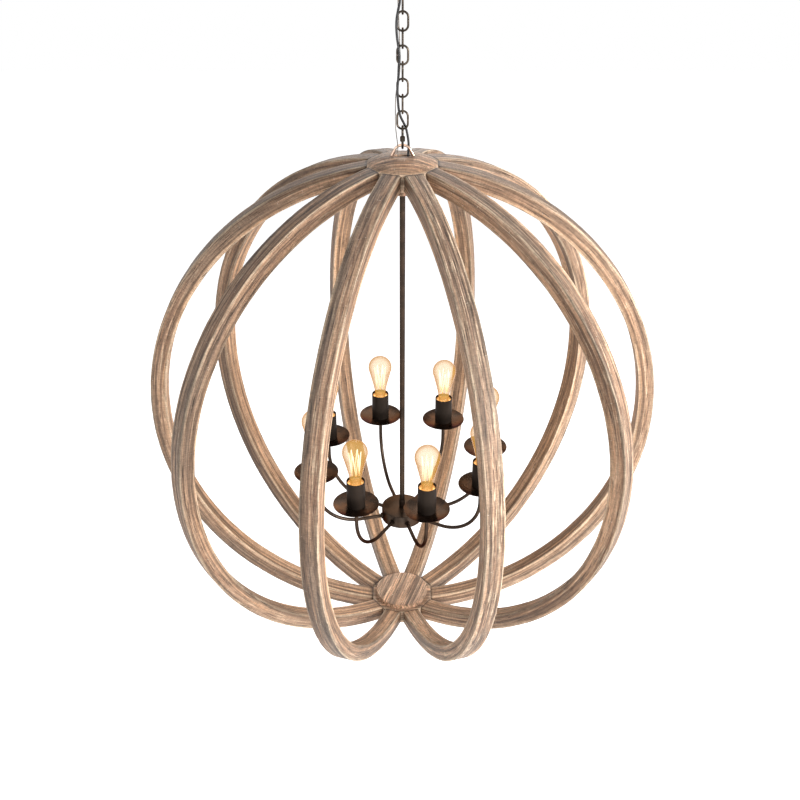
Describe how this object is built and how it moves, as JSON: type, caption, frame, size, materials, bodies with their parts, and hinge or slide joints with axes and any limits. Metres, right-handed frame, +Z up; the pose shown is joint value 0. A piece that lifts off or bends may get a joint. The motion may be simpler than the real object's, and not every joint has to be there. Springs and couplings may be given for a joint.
{
  "type": "orb chandelier",
  "caption": "Hanging globe of bent wooden ribs between two hubs, round a stem with curved metal arms, drip pans, socket cups and bulbs, hung on a chain from a ceiling canopy.",
  "frame": {"origin": "middle of the two ceiling screw holes, on the crossbar's upper face, which is the ceiling plane", "axes": "+Z up; the chain and the stem hang along -Z; the front of the chandelier, as pictured, faces -Y; +X is to the right seen from the front"},
  "size_m": [1.1678, 1.1216, 1.6112],
  "materials": {
    "rib_wood": "weathered, brushed",
    "hub_wood": "weathered, brushed",
    "bronze": "oil-rubbed bronze, satin",
    "zinc_steel": "zinc plated",
    "holder_black": "moulded",
    "shell_brass": "bright",
    "bulb_glass": "clear amber",
    "cord_black": "matte",
    "wire_jacket": "clear jacket",
    "connector_plastic": "moulded"
  },
  "bodies": {
    "ceiling_fitting": {"crossbar": "zinc_steel", "ceiling_nipple": "zinc_steel", "ceiling_locknut": "zinc_steel", "ceiling_loop": "bronze", "canopy_leads": "wire_jacket", "canopy_connectors": "connector_plastic"},
    "canopy_set": {"canopy": "bronze", "ring_nut": "bronze"},
    "top_chain_link": {"top_link": "bronze"},
    "chain": {"chain_links": "bronze", "connector_link": "bronze", "supply_cord": "cord_black", "ground_wire": "wire_jacket"},
    "link_sleeve": {"connector_sleeve": "bronze"},
    "orb": {"rib_1": "rib_wood", "rib_2": "rib_wood", "rib_3": "rib_wood", "rib_4": "rib_wood", "rib_5": "rib_wood", "rib_6": "rib_wood", "rib_7": "rib_wood", "rib_8": "rib_wood", "rib_9": "rib_wood", "rib_10": "rib_wood", "top_hub": "hub_wood", "bottom_hub": "hub_wood", "top_disc": "hub_wood", "bottom_disc": "hub_wood", "hanging_loop": "bronze", "loop_nuts": "zinc_steel", "stem": "bronze", "stem_locknut": "zinc_steel", "stem_collar": "bronze", "base_collar": "bronze", "base_nut": "zinc_steel", "wiring_box": "bronze", "box_cover": "bronze", "wire_connectors": "connector_plastic", "arms": "bronze", "arm_nuts": "bronze", "drip_pans": "bronze", "socket_cups": "bronze", "lampholders": "holder_black", "screw_shells": "shell_brass"},
    "bulb_1": {"bulb_glass_1": "bulb_glass", "bulb_cap_1": "shell_brass"},
    "bulb_2": {"bulb_glass_2": "bulb_glass", "bulb_cap_2": "shell_brass"},
    "bulb_3": {"bulb_glass_3": "bulb_glass", "bulb_cap_3": "shell_brass"},
    "bulb_4": {"bulb_glass_4": "bulb_glass", "bulb_cap_4": "shell_brass"},
    "bulb_5": {"bulb_glass_5": "bulb_glass", "bulb_cap_5": "shell_brass"},
    "bulb_6": {"bulb_glass_6": "bulb_glass", "bulb_cap_6": "shell_brass"},
    "bulb_7": {"bulb_glass_7": "bulb_glass", "bulb_cap_7": "shell_brass"},
    "bulb_8": {"bulb_glass_8": "bulb_glass", "bulb_cap_8": "shell_brass"}
  },
  "joints": [
    {"name": "canopy_drop", "type": "slide", "parent": "ceiling_fitting", "child": "canopy_set", "axis": [0, 0, -1], "range_m": [0, 0.028]},
    {"name": "chain_swing_front", "type": "hinge", "parent": "ceiling_fitting", "child": "top_chain_link", "pos_m": [0, 0, -0.0707], "axis": [1, 0, 0], "range_deg": [-20, 20]},
    {"name": "chain_swing_side", "type": "hinge", "parent": "top_chain_link", "child": "chain", "pos_m": [0, 0, -0.1033], "axis": [0, 1, 0], "range_deg": [-20, 20]},
    {"name": "orb_rock", "type": "hinge", "parent": "chain", "child": "orb", "pos_m": [0, 0, -0.37195], "axis": [0, 1, 0], "range_deg": [-12, 12], "deforming": ["supply_cord", "ground_wire"]},
    {"name": "sleeve_unscrew", "type": "slide", "parent": "chain", "child": "link_sleeve", "axis": [0, 0, 1], "range_m": [0, 0.007]},
    {"name": "bulb_1_out", "type": "slide", "parent": "orb", "child": "bulb_1", "axis": [0, 0, 1], "range_m": [0, 0.03]},
    {"name": "bulb_2_out", "type": "slide", "parent": "orb", "child": "bulb_2", "axis": [0, 0, 1], "range_m": [0, 0.03]},
    {"name": "bulb_3_out", "type": "slide", "parent": "orb", "child": "bulb_3", "axis": [0, 0, 1], "range_m": [0, 0.03]},
    {"name": "bulb_4_out", "type": "slide", "parent": "orb", "child": "bulb_4", "axis": [0, 0, 1], "range_m": [0, 0.03]},
    {"name": "bulb_5_out", "type": "slide", "parent": "orb", "child": "bulb_5", "axis": [0, 0, 1], "range_m": [0, 0.03]},
    {"name": "bulb_6_out", "type": "slide", "parent": "orb", "child": "bulb_6", "axis": [0, 0, 1], "range_m": [0, 0.03]},
    {"name": "bulb_7_out", "type": "slide", "parent": "orb", "child": "bulb_7", "axis": [0, 0, 1], "range_m": [0, 0.03]},
    {"name": "bulb_8_out", "type": "slide", "parent": "orb", "child": "bulb_8", "axis": [0, 0, 1], "range_m": [0, 0.03]}
  ]
}
